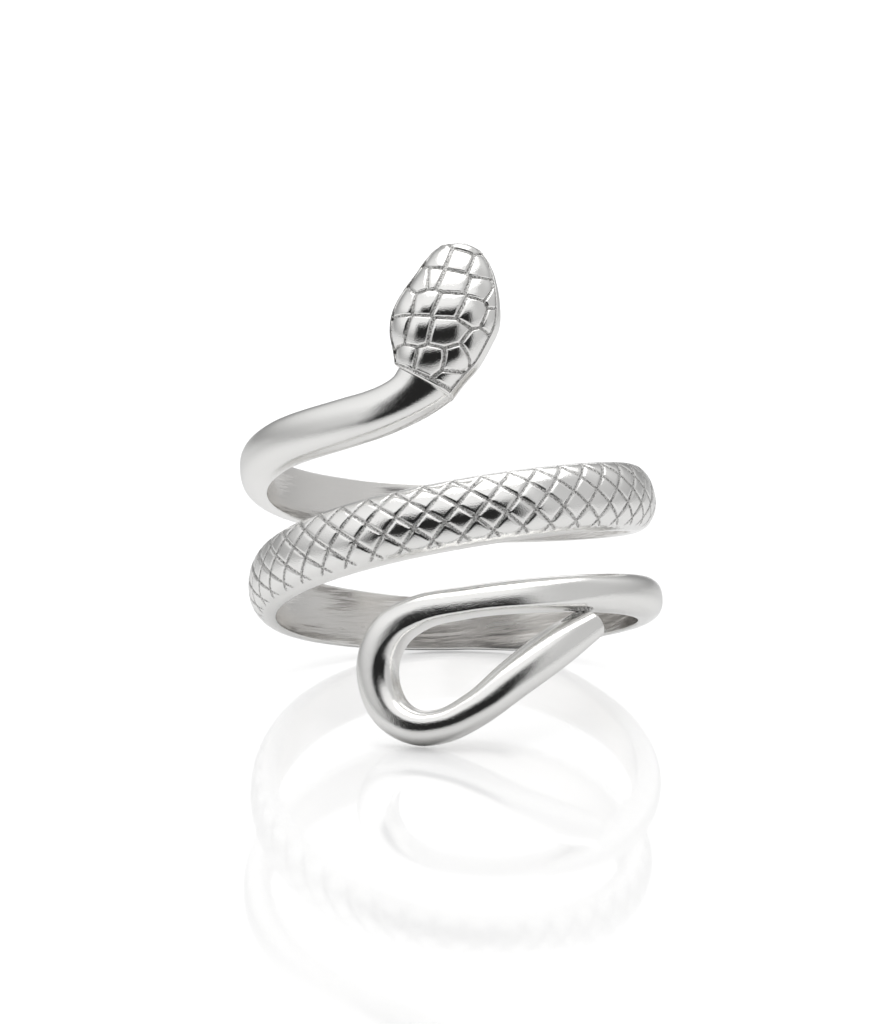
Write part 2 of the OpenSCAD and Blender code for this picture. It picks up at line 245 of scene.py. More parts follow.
def sweep(tree, given):
    # The section is carried along the line. Points keep the named values of both.
    line = newNode(tree, "GeometryNodeMeshToCurve", {"Mesh": given["Line"]}).outputs[0]
    section = newNode(tree, "GeometryNodeObjectInfo", {"Object": given["Section"]}).outputs["Geometry"]
    section = newNode(tree, "GeometryNodeMeshToCurve", {"Mesh": section}).outputs[0]
    return newNode(tree, "GeometryNodeCurveToMesh",
                   {"Curve": line, "Profile Curve": section, "Fill Caps": True}).outputs[0]


def tucked(tree, across, high):
    # Rounds an end: the point moves in towards the middle of its section
    middle = maths(tree, "MULTIPLY", attribute(tree, "height"), ring["heart"])
    way = vectors(tree, "NORMALIZE", combine(tree, across, maths(tree, "SUBTRACT", high, middle), 0.0))
    move = newNode(tree, "ShaderNodeSeparateXYZ",
                   {0: vectors(tree, "MULTIPLY", way, combine(
                       tree, attribute(tree, "tuck"), attribute(tree, "tuck"), 0.0))}).outputs
    return maths(tree, "SUBTRACT", across, move[0]), maths(tree, "SUBTRACT", high, move[1])


def finishSection(tree, given, result, mesh, high):
    # The same end for the body and the head. A face lies on the finger if all its points are inner ones.
    side = attribute(tree, "side")
    reach = maths(tree, "MULTIPLY", side, maths(tree, "MULTIPLY", attribute(tree, "width"), 0.5))
    inset = maths(tree, "MULTIPLY", attribute(tree, "inset"), maths(tree, "SIGN", side))
    across, high = tucked(tree, maths(tree, "SUBTRACT", reach, inset), high)
    inner = newNode(tree, "FunctionNodeCompare", {0: attribute(tree, "inner"), 1: 0.9},
                    operation="GREATER_THAN").outputs[0]
    finishTree(tree, given, result, mesh, across, high, inner)


def makePiece(name, tree, line, section, sizes, materials):
    # Runs the tree on the line and keeps the result as a plain mesh
    modifier = line.modifiers.new("sweep", "NODES")
    modifier.node_group = tree
    values = dict(sizes, Section=section, Outside=materials[0], Inside=materials[1])
    for item in tree.interface.items_tree:
        if item.item_type == "SOCKET" and item.in_out == "INPUT" and item.name in values:
            modifier[item.identifier] = values[item.name]
    graph = bpy.context.evaluated_depsgraph_get()
    mesh = bpy.data.meshes.new_from_object(line.evaluated_get(graph), depsgraph=graph)
    line.modifiers.clear()
    for used in (line, section):
        data = used.data
        bpy.data.objects.remove(used)
        bpy.data.meshes.remove(data)
    piece = bpy.data.objects.new(name, mesh)
    mesh.name = name
    bpy.context.scene.collection.objects.link(piece)
    return piece


# Finishes

silver = {
    "colour": (0.93, 0.925, 0.91, 1), "satinColour": (0.91, 0.895, 0.875, 1),
    "grooveColour": (0.2, 0.195, 0.19, 1),
    # Roughness at the grain's low and high places, and how far its mask spreads between them
    "polish": (0.045, 0.08), "satin": (0.14, 0.28), "grainSpread": (0.3, 0.7),
    # The sandy floor of the grooves: its roughness, how deep in the groove it starts and is full, how far
    # its mask spreads, and how dark it is at low and high places
    "sand": 0.5, "sandFrom": (0.4, 0.8), "sandSpread": (0.35, 0.6), "sandDark": (1.0, 0.15),
    "streaks": (0.12, 1.0, 1.0),  # the satin's grain is drawn out around the finger
    # Sizes and heights of the grain in metres
    "polishGrain": {"Size": 0.0011, "Detail": 3.0, "Height": 0.000008, "Fine Height": 0.000007},
    "satinGrain": {"Size": 0.0011, "Detail": 4.0, "Height": 0.0001},
    "sandGrain": {"Size": 0.00007, "Detail": 3.0, "Height": 0.00003},
    "fineSize": 0.00005, "fineDetail": 2.0,
}


def makeGrain():
    # Fine unevenness of polished or cast metal: a mask from 0 to 1, and a normal
    tree = bpy.data.node_groups.new("metalGrain", "ShaderNodeTree")
    given, result = addSockets(tree, [
        ("Place", "Vector", None), ("Size", "Float", None), ("Detail", "Float", None),
        ("Height", "Float", None), ("Fine Size", "Float", silver["fineSize"]), ("Fine Height", "Float", 0.0),
    ], [("Mask", "Float", None), ("Normal", "Vector", None)])
    coarse = noise(tree, given["Place"], given["Size"], given["Detail"])
    fine = noise(tree, given["Place"], given["Fine Size"], silver["fineDetail"])
    height = maths(tree, "MULTIPLY_ADD", fine, given["Fine Height"],
                   maths(tree, "MULTIPLY", coarse, given["Height"]))
    bump = newNode(tree, "ShaderNodeBump", {"Strength": 1.0, "Distance": 1.0, "Height": height})
    tree.links.new(coarse, result["Mask"])
    tree.links.new(bump.outputs[0], result["Normal"])
    return tree


metalGrain = makeGrain()


def makeSilver(name, satin):
    material = bpy.data.materials.new(name)
    material.use_nodes = True
    tree = material.node_tree
    shader = tree.nodes["Principled BSDF"]
    shader.inputs["Metallic"].default_value = 1.0
    if satin:
        sheet = newNode(tree, "ShaderNodeAttribute", attribute_name="sheet").outputs["Vector"]
        place = vectors(tree, "MULTIPLY", sheet, silver["streaks"])
        grain = groupNode(tree, metalGrain, dict(silver["satinGrain"], Place=place))
        shader.inputs["Base Color"].default_value = silver["satinColour"]
        plug(tree, shader.inputs["Roughness"],
             smoothRange(tree, grain["Mask"], *silver["grainSpread"], *silver["satin"]))
        plug(tree, shader.inputs["Normal"], grain["Normal"])
        return material
    groove = newNode(tree, "ShaderNodeAttribute", attribute_name="groove").outputs["Fac"]
    place = newNode(tree, "ShaderNodeTexCoord").outputs["Object"]
    grain = groupNode(tree, metalGrain, dict(silver["polishGrain"], Place=place))
    sand = groupNode(tree, metalGrain, dict(silver["sandGrain"], Place=place))
    floor = smoothRange(tree, groove, *silver["sandFrom"])
    dark = maths(tree, "MULTIPLY", floor, smoothRange(
        tree, sand["Mask"], *silver["sandSpread"], *silver["sandDark"]))
    polish = smoothRange(tree, grain["Mask"], *silver["grainSpread"], *silver["polish"])
    colour = mix(tree, dark, silver["colour"], silver["grooveColour"], "Color")
    plug(tree, shader.inputs["Base Color"], colour)
    plug(tree, shader.inputs["Roughness"], smoothRange(tree, floor, 0.0, 1.0, polish, silver["sand"]))
    plug(tree, shader.inputs["Normal"], mix(tree, floor, grain["Normal"], sand["Normal"], "Vector"))
    return material


polishedSilver = makeSilver("polishedSilver", False)
satinSilver = makeSilver("satinSilver", True)
print("finishes made")


# The body: tail, coil and neck in one line

body = {
    "width": 3.3, "height": 1.3, "edgeHeight": 0.18, "tailHeight": 1.4,
    "bevel": 0.09, "endRounding": 0.16, "step": 0.25,
    # The dome's fullness, with more where its crown is off the middle, as where the coil starts
    "fullness": 2.4, "crownFullness": 1.8, "firstCrown": -0.58,
    # The heel is a lower stretch of the edge behind, and the ring stands on it
    "heelDrop": 0.26,
    # Degrees round the finger from the front
    "coilStart": 22, "coilEnd": 660, "crownMiddle": 50, "heelAt": 152, "heelReach": 26,
    "tailKnot": 10, "neckKnot": 5,  # from the coil's end to the knot that the tail or the neck aims at
    "steepShares": (1.0, 0.998, 0.992, 0.981, 0.966, 0.949),  # points across where the dome is steep
    # The coil, a row for every quarter turn from a quarter before the front: up, share of width, of height
    "coil": [
        (6.1, 0.40, 1.15), (6.62, 0.45, 1.12), (7.4, 0.65, 1.00), (8.22, 0.80, 1.00), (9.4, 0.97, 0.96),
        (10.8, 1.00, 0.96), (12.4, 1.00, 1.04), (13.85, 0.88, 1.00), (15.15, 0.76, 0.97),
        (16.3, 0.69, 1.00), (17.4, 0.66, 1.00),
    ],
    # The tail from its cut end round the loop: around, up, width, place of the crown
    "tail": [
        (6.45, 5.45, 1.56, 0), (4.45, 4.27, 1.95, 0), (2.3, 2.83, 1.9, 0), (0.4, 1.49, 1.68, 0),
        (-1.0, 0.88, 1.6, 0), (-2.2, 0.87, 1.66, 0), (-3.3, 1.58, 1.74, 0), (-3.88, 2.9, 1.8, 0),
        (-3.84, 4.35, 1.88, -0.1), (-3.05, 5.63, 1.86, -0.35), (-1.7, 6.31, 1.66, -0.55),
        (0.3, 6.58, 1.52, -0.58),
    ],
    # The neck up to the collar, two turns on from the front: around, up, heading, width, share of height,
    # place of the crown
    "neck": [
        (-4.3, 15.85, 8, 2.35, 1.00, -0.1), (-3.1, 16.02, 13, 2.3, 1.06, -0.18),
        (-2.2, 16.27, 23, 2.3, 1.11, -0.24), (-1.35, 16.65, 36, 2.45, 1.19, -0.25),
        (-0.75, 17.1, 50, 2.8, 1.28, -0.27),
    ],
}
lattice = {
    "scalesPerTurn": 42, "from": 240, "to": 485,  # degrees
    "grooveWidth": 0.2, "grooveDepth": 0.06,
    "grooveFloor": 0.6,  # share of the groove's width that is flat
    "fadeSteps": 6, "phase": 0.5,  # half scales, along the body
    "diagonal": 0.7071,  # from a step along a row to the distance from a groove
    "topRow": 0.93, "rowStep": 0.385, "rowGrows": 0.0067,  # shares across the body
    # Rows, counted from the upper edge: where the grooves fade out, and values for the plain edges
    "forkReach": 4.63, "forkFade": 0.35, "topFade": (-0.12, -0.02), "lowerEdge": 4.64, "off": (-1.0, 6.0),
    "finer": 10,  # mesh steps in each half scale
    "pillow": 0.01,  # how far the middle of a scale stands out
    "crown": -0.1, "fullness": 2.0,  # the scaled turn is rounder than the plain body, with its crown lower
}
halfScale = 180 / lattice["scalesPerTurn"]
firstScale = math.ceil(lattice["from"] / halfScale)
lastScale = math.floor(lattice["to"] / halfScale)
farOff = -20.0  # the step of a point that lies on no scale


def coilPlace(angle):
    up, width, height = through(body["coil"], angle / 90 + 1)
    low = body["heelDrop"] * ease(1 - abs(angle - body["heelAt"]) / body["heelReach"])
    before = (body["crownMiddle"] - angle) / (body["crownMiddle"] - body["coilStart"])
    crown = body["firstCrown"] * ease(before)
    return [angle * turn / 360, up - low / 2, width * body["width"] + low, height * body["height"], crown]


def coilStation(angle):
    a, p, b = (coilPlace(angle + d) for d in (-0.5, 0, 0.5))
    return [p[0], p[1], math.degrees(math.atan2(b[1] - a[1], b[0] - a[0])), p[2], p[3], p[4]]


def station(place, along=0.0, tuck=0.0, step=farOff):
    around, up, heading, width, height, crown = place
    count = lastScale - firstScale
    return {
        "around": around * mm, "up": up * mm, "heading": math.radians(heading), "width": width * mm,
        "height": height * mm, "along": along * mm, "tuck": tuck * mm, "scaleStep": step, "crown": crown,
        "scaled": ease(step / lattice["fadeSteps"]) * ease((count - step) / lattice["fadeSteps"]),
    }


def tailStations():
    knots = [(a, u, w, body["tailHeight"], c) for a, u, w, c in body["tail"]]
    knots += [coilPlace(body["coilStart"]), coilPlace(body["coilStart"] + body["tailKnot"])]
    ends = quarterRound(body["endRounding"])
    path = [between(knots, 0, s / gap(knots, 0)) for s, tuck in ends]
    path += resample(knots, 0, len(body["tail"]), body["step"])[1:]
    tucks = [tuck for s, tuck in ends] + [0] * len(path)
    made = []
    for i, p in enumerate(path):
        a = path[max(0, i - 1)]
        b = path[i + 1] if i + 1 < len(path) else coilPlace(body["coilStart"])
        heading = math.degrees(math.atan2(b[1] - a[1], b[0] - a[0]))
        made.append(station([p[0], p[1], heading, p[2], p[3], p[4]], tuck=tucks[i]))
    return made


def coilStations():
    made = []
    fine = halfScale / lattice["finer"]
    stops = [(body["coilStart"], firstScale * halfScale, body["step"] * 360 / turn),
             (firstScale * halfScale, lastScale * halfScale, fine),
             (lastScale * halfScale, body["coilEnd"], body["step"] * 360 / turn)]
    for start, end, step in stops:
        n = round((end - start) / step)
        for k in range(n):
            angle = start + (end - start) * k / n
            made.append(station(coilStation(angle), step=angle / halfScale - firstScale + lattice["phase"]))
    return made


def neckStations():
    knots = [coilStation(body["coilEnd"] - body["neckKnot"]), coilStation(body["coilEnd"])]
    knots += [[a + 2 * turn, u, h, w, s * body["height"], c] for a, u, h, w, s, c in body["neck"]]
    path = resample(knots, 1, len(knots) - 1, body["step"]) + [knots[-1]]
    return [station(p) for p in path]


def bodySection():
    # Points over the dome from the upper edge to the lower one, then back along the finger
    corner, steep = quarterRound(body["bevel"]), body["steepShares"]
    above, below = lattice["off"]
    rows = [(1.0, inset, lift, 0, above, lift == 0) for inset, lift in reversed(corner)]
    rows += [(share, 0, 0, 1, (lattice["topRow"] - share) / lattice["rowStep"], 0) for share in steep]
    for k in range(int(lattice["forkReach"] * lattice["finer"]) + 1):
        t = k / lattice["finer"]
        share = lattice["topRow"] - lattice["rowStep"] * t - lattice["rowGrows"] * t * (t - 1)
        if share > -steep[-1]:
            rows.append((share, 0, 0, 1, t, 0))
    rows += [(-share, 0, 0, 1, lattice["lowerEdge"] + (share - steep[-1]), 0) for share in reversed(steep)]
    rows += [(-1.0, inset, lift, 0, below, lift == 0) for inset, lift in corner]
    rows += [(share, 0, 0, 0, below, 1) for share in ring["innerShares"]]
    return [dict(zip(("side", "inset", "lift", "domed", "row", "inner"),
                     (s, i * mm, l * mm, d, r, n))) for s, i, l, d, r, n in rows]


def makeLattice():
    # At a point of the lattice: how deep its groove and how high its scale is, from 0 to 1, and which of
    # the two crossing grooves is nearer
    tree = bpy.data.node_groups.new("latticeGrooves", "GeometryNodeTree")
    given, result = addSockets(tree, [
        ("Step", "Float", None), ("Row", "Float", None), ("Groove Width", "Float", None),
        ("Groove Floor", "Float", None), ("Scale Length", "Float", None), ("Fork Reach", "Float", None),
    ], [("Groove", "Float", None), ("Falling", "Bool", None), ("Pillow", "Float", None)])
    row = maths(tree, "ADD", given["Row"], 1.0)
    lines = []
    for operation in ("ADD", "SUBTRACT"):
        both = maths(tree, operation, given["Step"], row)
        lines.append(maths(tree, "ABSOLUTE", maths(tree, "WRAP", both, -1.0, 1.0)))
    away = maths(tree, "MULTIPLY", maths(tree, "MINIMUM", *lines),
                 maths(tree, "MULTIPLY", given["Scale Length"], lattice["diagonal"]))
    half = maths(tree, "MULTIPLY", given["Groove Width"], 0.5)
    floor = maths(tree, "MULTIPLY", half, given["Groove Floor"])
    groove = smoothRange(tree, away, floor, half, 1.0, 0.0, "LINEAR")
    top = smoothRange(tree, given["Row"], *lattice["topFade"])
    low = smoothRange(tree, given["Row"], maths(tree, "SUBTRACT", given["Fork Reach"], lattice["forkFade"]),
                      given["Fork Reach"], 1.0, 0.0)
    ends = maths(tree, "MULTIPLY", top, low)
    tree.links.new(maths(tree, "MULTIPLY", groove, ends), result["Groove"])
    tree.links.new(maths(tree, "LESS_THAN", lines[0], lines[1]), result["Falling"])
    domes = [maths(tree, "MULTIPLY", line, maths(tree, "SUBTRACT", 2.0, line)) for line in lines]
    tree.links.new(maths(tree, "MULTIPLY", maths(tree, "MULTIPLY", *domes), ends), result["Pillow"])
    return tree


latticeGrooves = makeLattice()


def makeBodyTree():
    tree = bpy.data.node_groups.new("snakeBody", "GeometryNodeTree")
    given, result = addSockets(tree, [
        ("Line", "Geometry", None), ("Section", "Object", None), ("Edge Height", "Float", None),
        ("Fullness", "Float", None), ("Groove Width", "Float", None), ("Groove Floor", "Float", None),
        ("Groove Depth", "Float", None), ("Scale Length", "Float", None), ("Fork Reach", "Float", None),
        ("Pillow", "Float", None), ("Crown Fullness", "Float", None), ("Scaled Crown", "Float", None),
        ("Scaled Fullness", "Float", None), ("Outside", "Material", None), ("Inside", "Material", None),
    ], [("Mesh", "Geometry", None)])
    mesh = sweep(tree, given)
    cut = groupNode(tree, latticeGrooves, {
        "Step": attribute(tree, "scaleStep"), "Row": attribute(tree, "row"),
        **{name: given[name] for name in ("Groove Width", "Groove Floor", "Scale Length", "Fork Reach")}})
    groove = maths(tree, "MULTIPLY", cut["Groove"], attribute(tree, "scaled"))
    mesh = store(tree, mesh, "groove", groove)
    pillow = maths(tree, "MULTIPLY", cut["Pillow"], attribute(tree, "scaled"))
    mesh = store(tree, mesh, "pillow", pillow)
    # Every square is split along the groove that crosses it
    mesh = newNode(tree, "GeometryNodeTriangulate", {"Mesh": mesh, "Selection": cut["Falling"]},
                   quad_method="FIXED").outputs[0]
    mesh = newNode(tree, "GeometryNodeTriangulate", {"Mesh": mesh},
                   quad_method="FIXED_ALTERNATE").outputs[0]
    # The section: the dome's crown may lie nearer to one side, and the dome is flatter on top then
    side, scaled = attribute(tree, "side"), attribute(tree, "scaled")
    off = maths(tree, "ABSOLUTE", attribute(tree, "crown"))
    fullness = maths(tree, "MULTIPLY_ADD", maths(tree, "MULTIPLY", off, maths(tree, "SUBTRACT", 1.0, off)),
                     given["Crown Fullness"], given["Fullness"])
    fullness = maths(tree, "MULTIPLY_ADD", scaled, maths(
        tree, "SUBTRACT", given["Scaled Fullness"], given["Fullness"]), fullness)
    crown = maths(tree, "MULTIPLY_ADD", scaled, given["Scaled Crown"], attribute(tree, "crown"))
    past = maths(tree, "SUBTRACT", side, crown)
    reach = maths(tree, "DIVIDE", maths(tree, "ABSOLUTE", past), maths(
        tree, "SUBTRACT", 1.0, maths(tree, "MULTIPLY", crown, maths(tree, "SIGN", past))))
    reach = maths(tree, "MINIMUM", reach, 1.0)
    dome = maths(tree, "POWER", maths(tree, "MAXIMUM", maths(
        tree, "SUBTRACT", 1.0, maths(tree, "POWER", reach, fullness)), 0.0),
        maths(tree, "DIVIDE", 1.0, fullness))
    rise = maths(tree, "MULTIPLY_ADD", dome, maths(
        tree, "SUBTRACT", attribute(tree, "height"), given["Edge Height"]), given["Edge Height"])
    high = maths(tree, "MULTIPLY_ADD", rise, attribute(tree, "domed"), attribute(tree, "lift"))
    high = maths(tree, "SUBTRACT", high, maths(tree, "MULTIPLY", groove, given["Groove Depth"]))
    high = maths(tree, "MULTIPLY_ADD", attribute(tree, "pillow"), given["Pillow"], high)
    finishSection(tree, given, result, mesh, high)
    return tree


def makeBody():
    line = chain("snakeBodyLine", tailStations() + coilStations() + neckStations())
    section = chain("snakeBodySection", bodySection(), closed=True)
    sizes = {
        "Edge Height": body["edgeHeight"] * mm, "Fullness": body["fullness"],
        "Groove Width": lattice["grooveWidth"] * mm, "Groove Floor": lattice["grooveFloor"],
        "Groove Depth": lattice["grooveDepth"] * mm,
        "Scale Length": turn / lattice["scalesPerTurn"] / 2 * mm, "Fork Reach": lattice["forkReach"],
        "Pillow": lattice["pillow"] * mm, "Crown Fullness": body["crownFullness"],
        "Scaled Crown": lattice["crown"], "Scaled Fullness": lattice["fullness"],
    }
    return makePiece("snakeBody", makeBodyTree(), line, section, sizes, (polishedSilver, satinSilver))


snakeBody = makeBody()
print("body made:", len(snakeBody.data.polygons), "faces")


# The head

head = {
    "width": 4.65, "height": 2.7, "fullness": 2.2, "lip": 0.17, "step": 0.04, "collarRounding": 0.12,
    "grooveDepth": 0.075, "grooveHalf": 0.1, "grooveFloor": 0.4,  # the floor is a share of the width
    "rimFade": 0.15,  # how near to the rim the scales' doming ends
    "noseFade": 0.33,  # share of the width where the scales end towards the nose
    "belly": 0.3, "sideTuck": 0.05, "sideSteps": (0.2, 0.4, 0.6),  # the straight sides under the round
    # Degrees over the round: the scales' limits, the values for the plain sides, and the points' number
    "scaledFrom": 17, "scaledTo": 143, "off": (-20, 200), "roundSteps": 150,
    "scaleCurve": (0.36, 0.6, 0.0),  # how much rounder each scale is than the head, along and across, per mm
    # From the collar to the nose: around, up, heading, share of width, of height
    "rows": [
        (-0.75, 17.1, 50, 0.65, 0.85), (-0.46, 17.63, 62, 0.71, 0.91), (-0.17, 18.15, 70, 0.81, 0.955),
        (0.1, 19.05, 75, 0.94, 0.995), (0.42, 20.03, 76, 1.00, 1.00), (0.73, 21.02, 76, 0.92, 0.925),
        (1.02, 21.9, 76, 0.79, 0.79), (1.22, 22.7, 76, 0.65, 0.64), (1.35, 23.3, 76, 0.48, 0.5),
        (1.43, 23.62, 76, 0.31, 0.39), (1.46, 23.75, 76, 0.12, 0.28),
    ],
    # Middles of the scales: along the head from the collar, across it to the left
    "scales": [
        (0.3, -1.05), (0.65, 1.0), (0.85, 0.03), (1.15, -0.84), (1.9, -1.45), (2.28, -0.12), (2.25, 0.75),
        (2.3, 1.65), (3.4, -1.9), (3.5, -0.75), (3.6, 0.05), (3.65, 0.75), (3.5, 1.75), (4.35, -1.7),
        (4.7, -0.87), (4.75, 0.2), (4.8, 0.9), (4.7, 1.2), (5.8, -0.7), (5.95, 0.07), (6.05, 0.85),
        (7.05, -0.15),
    ],
}


def headStations():
    rows, knots, along = head["rows"], [], 0.0
    for i, (a, u, h, w, s) in enumerate(rows):
        along += gap(rows, i - 1) if i else 0
        knots.append([a + 2 * turn, u, h, w * head["width"], s * head["height"], 0, along])
    ends = quarterRound(head["collarRounding"])
    path = [between(knots, 0, s / gap(knots, 0)) for s, tuck in ends]
    clear = head["collarRounding"] + head["step"] / 2
    path += [p for p in resample(knots, 0, len(knots) - 1, head["step"]) if p[6] > clear] + [knots[-1]]
    tucks = [tuck for s, tuck in ends] + [0] * len(path)
    return [station(p[:6], along=p[6], tuck=t) for p, t in zip(path, tucks)]


def headSection():
    power = 2 / head["fullness"]

    def rounded(x):
        return math.copysign(abs(x) ** power, x)

    rows = []
    for k in range(head["roundSteps"] + 1):
        angle = 180 / head["roundSteps"] * k
        t = math.radians(angle)
        rise = head["belly"] + (1 - head["belly"]) * rounded(math.sin(t))
        rows.append((rounded(math.cos(t)), 0, 0, rise, angle, 0))
    right, left = head["off"]
    sides = [(1 - head["sideTuck"] * low * low, 0, 0, head["belly"] * (1 - low)) for low in head["sideSteps"]]
    sides += [(1 - head["sideTuck"], inset, lift, 0) for inset, lift in quarterRound(body["bevel"])]
    rows += [(-s, i, l, r, left, l == 0 and r == 0) for s, i, l, r in sides]
    rows += [(s, 0, 0, 0, left, 1) for s in ring["innerShares"]]
    rows += [(s, i, l, r, right, l == 0 and r == 0) for s, i, l, r in reversed(sides)]
    return [dict(zip(("side", "inset", "lift", "rise", "bend", "inner"),
                     (s, i * mm, l * mm, r, a, n))) for s, i, l, r, a, n in rows]


def makeHeadTree():
    tree = bpy.data.node_groups.new("snakeHead", "GeometryNodeTree")
    given, result = addSockets(tree, [
        ("Line", "Geometry", None), ("Section", "Object", None), ("Scales", "Object", None),
        ("Belly", "Float", None), ("Groove Depth", "Float", None), ("Groove Half", "Float", None),
        ("Scaled From", "Float", None), ("Scaled To", "Float", None), ("Full Width", "Float", None),
        ("Scale Curve", "Vector", None), ("Lip", "Float", None), ("Groove Floor", "Float", None),
        ("Rim Fade", "Float", None), ("Nose Fade", "Float", None),
        ("Outside", "Material", None), ("Inside", "Material", None),
    ], [("Mesh", "Geometry", None)])
    mesh = sweep(tree, given)
    width, height = attribute(tree, "width"), attribute(tree, "height")
    bend = attribute(tree, "bend")
    # The place on the head: along it, and across it over a quarter of its round
    halfWidth = maths(tree, "MULTIPLY", width, 0.5)
    top = maths(tree, "MULTIPLY", height, maths(tree, "SUBTRACT", 1.0, given["Belly"]))
    quarter = maths(tree, "MULTIPLY", maths(tree, "SQRT", maths(
        tree, "ADD", maths(tree, "MULTIPLY", halfWidth, halfWidth), maths(tree, "MULTIPLY", top, top))),
        math.pi / 2 / math.sqrt(2))
    over = maths(tree, "MULTIPLY", quarter, maths(
        tree, "SUBTRACT", 1.0, maths(tree, "DIVIDE", bend, 90.0)))
    mesh = store(tree, mesh, "place", combine(tree, attribute(tree, "along"), over, 0.0), "FLOAT_VECTOR")
    place = attribute(tree, "place", "FLOAT_VECTOR")
    middles = newNode(tree, "GeometryNodeObjectInfo", {"Object": given["Scales"]}).outputs["Geometry"]
    count = newNode(tree, "GeometryNodeAttributeDomainSize", {0: middles}).outputs["Point Count"]
    middlePlace = newNode(tree, "GeometryNodeInputPosition").outputs[0]

    def scaleMiddle(index):
        return newNode(tree, "GeometryNodeSampleIndex",
                       {"Geometry": middles, "Value": middlePlace, "Index": index},
                       data_type="FLOAT_VECTOR").outputs[0]

    # First the nearest middle of a scale, then how far its edge is
    near = newNode(tree, "GeometryNodeSampleNearest",
                   {"Geometry": middles, "Sample Position": place}).outputs[0]
    mesh = store(tree, mesh, "middle", scaleMiddle(near), "FLOAT_VECTOR")
    middle = attribute(tree, "middle", "FLOAT_VECTOR")
    start = newNode(tree, "GeometryNodeRepeatInput")
    end = newNode(tree, "GeometryNodeRepeatOutput")
    start.pair_with_output(end)
    end.repeat_items.new("FLOAT", "Edge")
    plug(tree, start.inputs["Iterations"], count)
    farthest, closest = 0.01, 0.00001  # metres: an edge that is never reached, and two middles that are one
    plug(tree, start.inputs["Geometry"], store(tree, mesh, "edge", farthest))
    other = scaleMiddle(start.outputs["Iteration"])
    apart = measure(tree, "DISTANCE", middle, other)
    a, b = measure(tree, "DISTANCE", place, other), measure(tree, "DISTANCE", place, middle)
    split = maths(tree, "DIVIDE", maths(tree, "SUBTRACT", maths(tree, "MULTIPLY", a, a), maths(
        tree, "MULTIPLY", b, b)), maths(tree, "MULTIPLY", maths(tree, "MAXIMUM", apart, closest), 2.0))
    split = maths(tree, "ADD", split, maths(tree, "LESS_THAN", apart, 2 * closest))
    nearer = maths(tree, "MINIMUM", attribute(tree, "edge"), split)
    tree.links.new(store(tree, start.outputs["Geometry"], "edge", nearer), end.inputs["Geometry"])
    mesh = end.outputs["Geometry"]
    # Plain rims on both sides and a lip at the collar, each with a groove along it
    rim = maths(tree, "MAXIMUM", maths(tree, "SUBTRACT", given["Scaled From"], bend),
                maths(tree, "SUBTRACT", bend, given["Scaled To"]))
    rim = maths(tree, "DIVIDE", maths(tree, "MULTIPLY", rim, quarter), 90.0)
    rim = maths(tree, "MAXIMUM", rim, maths(tree, "SUBTRACT", given["Lip"], attribute(tree, "along")))
    inside = maths(tree, "LESS_THAN", rim, 0.0)
    edge = mix(tree, inside, rim, maths(
        tree, "MINIMUM", maths(tree, "MULTIPLY", rim, -1.0), attribute(tree, "edge")))
    nose = smoothRange(tree, maths(tree, "DIVIDE", width, given["Full Width"]), 0.0, given["Nose Fade"])
    floor = maths(tree, "MULTIPLY", given["Groove Half"], given["Groove Floor"])
    groove = maths(tree, "MULTIPLY", nose, smoothRange(tree, edge, floor, given["Groove Half"], 1.0, 0.0))
    mesh = store(tree, mesh, "groove", groove)
    away = vectors(tree, "SUBTRACT", place, middle)
    swell = measure(tree, "DOT_PRODUCT", vectors(tree, "MULTIPLY", away, away), given["Scale Curve"])
    swell = maths(tree, "MULTIPLY", swell, -0.5)
    plain = maths(tree, "MULTIPLY", given["Rim Fade"], -1.0)
    swell = maths(tree, "MULTIPLY", swell, maths(
        tree, "MULTIPLY", nose, smoothRange(tree, rim, plain, 0.0, 1.0, 0.0)))
    high = maths(tree, "MULTIPLY_ADD", attribute(tree, "rise"), height, attribute(tree, "lift"))
    high = maths(tree, "ADD", high, swell)
    high = maths(tree, "SUBTRACT", high, maths(
        tree, "MULTIPLY", attribute(tree, "groove"), given["Groove Depth"]))
    finishSection(tree, given, result, mesh, high)
    return tree


def makeHead():
    line = chain("snakeHeadLine", headStations())
    section = chain("snakeHeadSection", headSection(), closed=True)
    mesh = bpy.data.meshes.new("headScales")
    mesh.from_pydata([(x * mm, y * mm, 0) for x, y in head["scales"]], [], [])
    scales = bpy.data.objects.new("headScales", mesh)
    bpy.context.scene.collection.objects.link(scales)
    sizes = {
        "Scales": scales, "Belly": head["belly"], "Groove Depth": head["grooveDepth"] * mm,
        "Groove Half": head["grooveHalf"] * mm, "Scaled From": float(head["scaledFrom"]),
        "Scaled To": float(head["scaledTo"]), "Full Width": head["width"] * mm,
        "Scale Curve": [curve / mm for curve in head["scaleCurve"]], "Lip": head["lip"] * mm,
        "Groove Floor": head["grooveFloor"], "Rim Fade": head["rimFade"] * mm, "Nose Fade": head["noseFade"],
    }
    piece = makePiece("snakeHead", makeHeadTree(), line, section, sizes, (polishedSilver, satinSilver))
    bpy.data.objects.remove(scales)
    bpy.data.meshes.remove(mesh)
    return piece


snakeHead = makeHead()
print("head made:", len(snakeHead.data.polygons), "faces")


# The solder seam in the notch between the tail's cut end and the band above it

